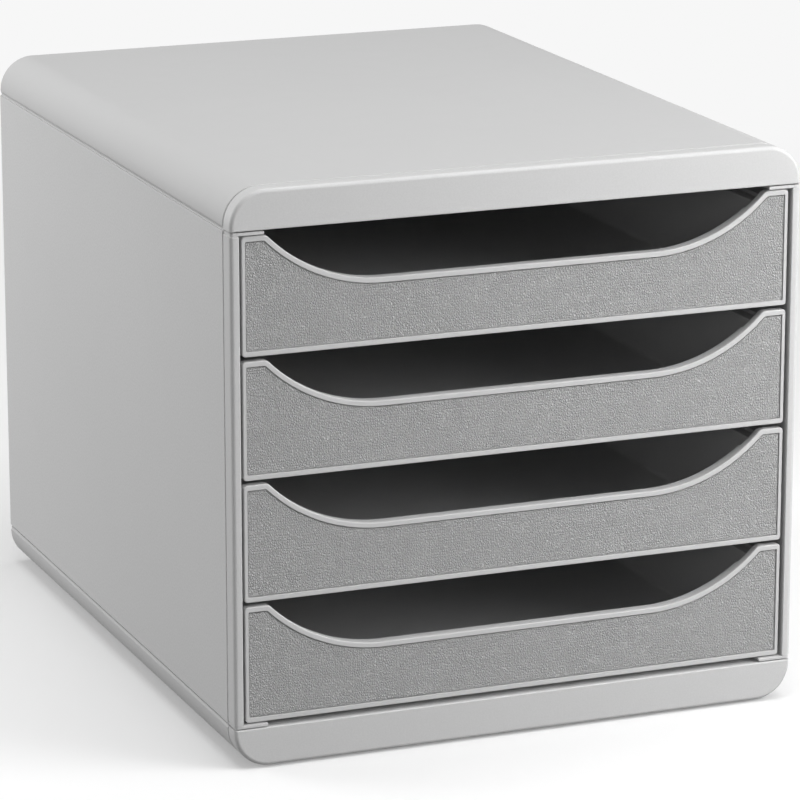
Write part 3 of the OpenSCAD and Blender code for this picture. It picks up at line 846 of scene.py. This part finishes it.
def makeDrawerFront(number):
    name = "drawer_%d_front" % number
    low = drawerLow(number)
    face = drawer["frontY"] + drawer["faceSetBack"]
    depth = drawer["frontDepth"] - drawer["faceSetBack"]
    wall = drawer["wall"]
    bevel = frontLook["rearBevel"]
    soft = frontLook["rimRounding"]
    rim = frontLook["rimWidth"]
    inner = frontLook["rimInnerRounding"]
    channel = frontLook["channelDepth"]
    fieldAt = rim + frontLook["channelWidth"]
    fieldFace = channel - frontLook["fieldRise"]
    edge = frontLook["fieldEdge"]
    nearFace = edge * frontLook["softShare"]
    cut = frontLook["channelBevel"]
    # profile of (offset from the outline, depth behind the face): back, rim and channel, then the field
    smooth = [(wall, frontLook["plateBack"]), (wall, depth - bevel), (wall - bevel, depth), (bevel, depth),
              (0.0, depth - bevel)]
    smooth += [(roundedInset(d, soft), d) for d in reversed(roundedDepths(soft, frontLook["rimSteps"]))]
    smooth += [(rim - roundedInset(d, inner), d) for d in roundedDepths(inner, frontLook["rimInnerSteps"])]
    smooth += [(rim, channel - cut), (rim + cut, channel), (fieldAt - cut, channel)]
    grained = [(fieldAt, channel - cut), (fieldAt, fieldFace + edge)]
    grained += [(fieldAt + nearFace, fieldFace + nearFace), (fieldAt + edge, fieldFace)]

    shape = MouldedShape()
    rings = []
    for offset, back in smooth + grained:
        rings.append(shape.addRing([(x, face + back, low + z) for x, z in frontOutline(offset)]))
    shape.addFace(rings[0], 0)
    for i in range(len(rings) - 1):
        shape.addSkin(rings[i], rings[i + 1], 0 if i < len(smooth) - 1 else 1)
    shape.addFace(rings[-1], 1)
    # hooks that snap into the tray
    start = face + frontLook["plateBack"] - wall / 2
    catch = face + frontLook["hookCatch"]
    thick = frontLook["hookThickness"]
    barb = frontLook["hookBarb"]
    for place in frontLook["hookPlaces"]:
        x = place * 2 * drawer["halfWidth"]
        z = low + frontLook["hookHeight"]
        shape.addPrism([(start, z), (start, z + thick), (catch, z + thick), (catch, z + thick + barb),
                        (catch + barb, z + thick), (catch + barb, z)],
                       x - frontLook["hookWidth"] / 2, x + frontLook["hookWidth"] / 2)
    shape.build(name + "_panel", name, "drawer_%d" % number,
                [material["rimPlastic"], material["fieldPlastic"]])


for number in range(1, drawer["count"] + 1):
    makeDrawerFront(number)
print("drawer fronts made")


trayLook = {
    "halfWidth": 125.0,
    "frontY": -168.0,
    "rearY": 168.8,
    "outerRadius": 8.0,
    "wall": 2.0,
    "floor": 1.8,
    "lift": 1.0,
    "top": 46.475,
    "rimRounding": 0.5,
    "floorFillet": 2.0,
    "bottomRounding": 1.0,
    "flangeWidth": 8.4,
    "flangeThickness": 2.0,
    "flangeRear": 160.8,
    "lugHeight": 3.6,
    "lugLength": 8.0,
    "rearLip": 1.2,
    "ribDrop": 0.8,
    "ribThickness": 1.4,
    "ribPlaces": (-0.3, 0.0, 0.3),
    "fit": 0.2,
    "flushStep": 0.01,
    "scoopSteps": 20,
    "cornerSteps": 8,
    "edgeSteps": 4,
    "filletSteps": 5,
}


def trayOutline(inset):
    # plan outline of a tray as (x, y, height of its wall there), from the front left corner
    radius = trayLook["outerRadius"] - inset
    cornerCentreX = trayLook["halfWidth"] - trayLook["outerRadius"]
    frontCentre = trayLook["frontY"] + trayLook["outerRadius"]
    rearCentre = trayLook["rearY"] - trayLook["outerRadius"]
    full = trayLook["top"]
    scoopRadius = drawer["scoopRadius"] + trayLook["fit"]
    centreZ = drawer["height"] - drawer["scoopDepth"] + drawer["scoopRadius"]
    reach = math.sqrt(scoopRadius ** 2 - (centreZ - full) ** 2)
    lean = math.asin(reach / scoopRadius)
    steps = trayLook["scoopSteps"]
    frontHalf = []
    for i in range(steps + 1):
        angle = lean * i / steps
        frontHalf.append((drawer["scoopFlat"] + scoopRadius * math.sin(angle),
                          trayLook["frontY"] + inset, centreZ - scoopRadius * math.cos(angle)))
    points = [(-x, y, z) for x, y, z in reversed(frontHalf)] + frontHalf
    corners = [((cornerCentreX, frontCentre), 270), ((cornerCentreX, rearCentre), 0),
               ((-cornerCentreX, rearCentre), 90), ((-cornerCentreX, frontCentre), 180)]
    for centre, start in corners:
        turn = arcPoints(centre, radius, start, start + 90, trayLook["cornerSteps"])
        points += [(x, y, full) for x, y in turn]
    return points


def makeTray(number):
    name = "drawer_%d_tray" % number
    low = drawerLow(number)
    floorLow = low + trayLook["lift"]
    floorTop = floorLow + trayLook["floor"]
    wall = trayLook["wall"]
    bottomSoft = trayLook["bottomRounding"]
    rimSoft = trayLook["rimRounding"]
    fillet = trayLook["floorFillet"]
    shape = MouldedShape()
    edgeSteps = trayLook["edgeSteps"]
    # up the outside, over the rim and down the inside to the floor
    rings = []
    for depth in roundedDepths(bottomSoft, edgeSteps):
        outline = trayOutline(roundedInset(depth, bottomSoft))
        rings.append([(x, y, floorLow + depth) for x, y, top in outline])
    for depth in reversed(roundedDepths(rimSoft, edgeSteps)):
        outline = trayOutline(roundedInset(depth, rimSoft))
        rings.append([(x, y, low + top - depth) for x, y, top in outline])
    for depth in roundedDepths(rimSoft, edgeSteps):
        outline = trayOutline(wall - roundedInset(depth, rimSoft))
        rings.append([(x, y, low + top - depth) for x, y, top in outline])
    for depth in reversed(roundedDepths(fillet, trayLook["filletSteps"])):
        outline = trayOutline(wall + roundedInset(depth, fillet))
        rings.append([(x, y, floorTop + depth) for x, y, top in outline])
    shape.addStack(rings)

    # side flanges with their stop lugs, the rear lip and the ribs under the floor
    top = low + trayLook["top"]
    flush = top - trayLook["flushStep"]
    half = trayLook["halfWidth"]
    front = trayLook["frontY"] + trayLook["outerRadius"]
    rear = trayLook["flangeRear"]
    under = top - trayLook["flangeThickness"]
    outer = half + trayLook["flangeWidth"]
    for side in (-1, 1):
        near, far = sorted((side * (half - wall / 2), side * outer))
        shape.addBar((near, front, under), (far, rear, flush))
        near, far = sorted((side * (half + trayLook["flangeWidth"] / 2), side * outer))
        shape.addBar((near, rear - trayLook["lugLength"], under), (far, rear, top + trayLook["lugHeight"]))
    inner = half - trayLook["outerRadius"]
    shape.addBar((-inner, trayLook["rearY"] - wall / 2, under),
                 (inner, trayLook["rearY"] + trayLook["rearLip"], flush))
    length = trayLook["rearY"] - trayLook["frontY"]
    middle = (trayLook["rearY"] + trayLook["frontY"]) / 2
    thick = trayLook["ribThickness"] / 2
    ribLow = floorLow - trayLook["ribDrop"]
    ribHigh = floorLow + trayLook["floor"] / 2
    for place in trayLook["ribPlaces"]:
        x = place * 2 * half
        y = middle + place * length
        shape.addBar((x - thick, front, ribLow), (x + thick, rear, ribHigh))
        shape.addBar((-inner, y - thick, ribLow), (inner, y + thick, ribHigh))
    shape.build(name + "_box", name, "drawer_%d" % number, [material["trayPlastic"]])


for number in range(1, drawer["count"] + 1):
    makeTray(number)
print("trays made")


# How edges of kept pieces are softened, with the weld in metres and the angles in degrees
softening = {
    "weldReach": 0.00001,
    "flatAngle": 0.3,
    "edgeAngle": 30,
    "segments": 2,
}
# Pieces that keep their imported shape: finish and width of their soft edges in millimetres
keptLook = {
    "left_side_panel": ("panelPlastic", 0.22),
    "right_side_panel": ("panelPlastic", 0.22),
    "back_panel": ("panelPlastic", 0.3),
    "left_runner_frame": ("runnerPlastic", 0.25),
    "right_runner_frame": ("runnerPlastic", 0.25),
    "foot_front_left": ("footRubber", 0.0),
    "foot_front_right": ("footRubber", 0.0),
    "foot_rear_left": ("footRubber", 0.0),
    "foot_rear_right": ("footRubber", 0.0),
}


def dressKeptNode(name, finish, rounding):
    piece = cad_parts[name]
    if piece.material_slots:
        for slot in piece.material_slots:
            slot.material = material[finish]
    else:
        piece.data.materials.append(material[finish])
    if rounding > 0:
        weld = piece.modifiers.new("Weld", "WELD")
        weld.merge_threshold = softening["weldReach"]
        flat = piece.modifiers.new("Flat faces", "DECIMATE")
        flat.decimate_type = "DISSOLVE"
        flat.angle_limit = math.radians(softening["flatAngle"])
        soft = piece.modifiers.new("Soft edges", "BEVEL")
        soft.width = rounding * metresPerMillimetre
        soft.segments = softening["segments"]
        soft.limit_method = "ANGLE"
        soft.angle_limit = math.radians(softening["edgeAngle"])
        soft.harden_normals = False
        weighted = piece.modifiers.new("Weighted normals", "WEIGHTED_NORMAL")
        weighted.keep_sharp = False


for name, (finish, rounding) in keptLook.items():
    dressKeptNode(name, finish, rounding)
print("kept nodes dressed:", len(keptLook))


# Places and sizes in metres, powers in watts; the floor fades to the background between the two radii
studio = {
    "floorSize": 8.0,
    "floorColour": 0.68,
    "floorBounce": 0.25,
    "floorRoughness": 0.9,
    "background": 0.93,
    "nearGlow": 0.25,
    "fadeStart": 0.35,
    "fadeEnd": 1.3,
    "ambient": 0.15,
}
lamps = {
    "rightKey": {"at": (0.75, -0.80, 0.45), "aim": (0.08, -0.17, 0.14), "size": (0.7, 0.7), "power": 5.7},
    "rightNear": {"at": (0.48, -0.50, 0.34), "aim": (0.08, -0.17, 0.14), "size": (0.4, 0.4), "power": 1.8},
    "topWide": {"at": (0.0, -0.25, 1.90), "aim": (0.0, 0.0, 0.20), "size": (1.6, 1.6), "power": 26.5},
    "leftRear": {"at": (-1.20, 0.90, 0.45), "aim": (-0.14, 0.05, 0.15), "size": (0.8, 0.6), "power": 12.5},
    "frontFill": {"at": (-0.55, -1.45, 0.56), "aim": (0.0, -0.12, 0.13), "size": (0.5, 0.5), "power": 2.4},
}


def addLamp(name, lamp):
    light = bpy.data.lights.new(name, "AREA")
    light.shape = "RECTANGLE"
    light.size = lamp["size"][0]
    light.size_y = lamp["size"][1]
    light.energy = lamp["power"]
    stand = bpy.data.objects.new(name, light)
    stand.location = Vector(lamp["at"])
    aim = Vector(lamp["aim"]) - stand.location
    stand.rotation_euler = aim.to_track_quat("-Z", "Y").to_euler()
    bpy.context.scene.collection.objects.link(stand)


def makeFloorMaterial():
    floorMaterial = bpy.data.materials.new("paleFloor")
    floorMaterial.use_nodes = True
    tree = floorMaterial.node_tree
    tree.nodes.clear()
    wire = Wiring(tree)
    output = wire.node("ShaderNodeOutputMaterial")
    surface = wire.node("ShaderNodeBsdfPrincipled")
    wire.put(surface.outputs[0], output.inputs["Surface"])
    place = wire.node("ShaderNodeTexCoord").outputs["Object"]
    distance = wire.node("ShaderNodeVectorMath", operation="LENGTH")
    wire.put(place, distance.inputs[0])
    fade = wire.remap(distance.outputs["Value"], studio["fadeStart"], studio["fadeEnd"], 0.0, 1.0,
                      smooth=True)
    paper = studio["floorColour"]
    pale = studio["background"]
    seen = wire.node("ShaderNodeLightPath")
    bare = wire.mixColour(seen.outputs["Is Camera Ray"], shade(studio["floorBounce"]), shade(paper))
    wire.put(wire.mixColour(fade, bare, shade(0.0)), surface.inputs["Base Color"])
    byEye = wire.maths("MAXIMUM", seen.outputs["Is Camera Ray"], seen.outputs["Is Glossy Ray"])
    lift = wire.mixColour(fade, shade(pale * studio["nearGlow"]), shade(pale))
    wire.put(wire.mixColour(byEye, shade(0.0), lift), surface.inputs["Emission Color"])
    surface.inputs["Emission Strength"].default_value = 1.0
    surface.inputs["Roughness"].default_value = studio["floorRoughness"]
    surface.inputs["Specular IOR Level"].default_value = 0.0
    return floorMaterial


def addStudio():
    for name, lamp in lamps.items():
        addLamp(name, lamp)
    mesh = bpy.data.meshes.new("studioFloor")
    half = studio["floorSize"] / 2
    mesh.from_pydata([(-half, -half, 0), (half, -half, 0), (half, half, 0), (-half, half, 0)], [],
                     [(0, 1, 2, 3)])
    mesh.materials.append(makeFloorMaterial())
    floor = bpy.data.objects.new("studioFloor", mesh)
    bpy.context.scene.collection.objects.link(floor)
    world = bpy.data.worlds.new("studioWorld")
    world.use_nodes = True
    bpy.context.scene.world = world
    tree = world.node_tree
    tree.nodes.clear()
    wire = Wiring(tree)
    output = wire.node("ShaderNodeOutputWorld")
    sky = wire.node("ShaderNodeBackground")
    seen = wire.node("ShaderNodeLightPath")
    wire.put(wire.mixColour(seen.outputs["Is Camera Ray"], shade(studio["ambient"]),
                            shade(studio["background"])), sky.inputs["Color"])
    sky.inputs["Strength"].default_value = 1.0
    wire.put(sky.outputs[0], output.inputs["Surface"])
    bpy.context.scene.view_settings.view_transform = "Standard"


addStudio()
print("studio made")
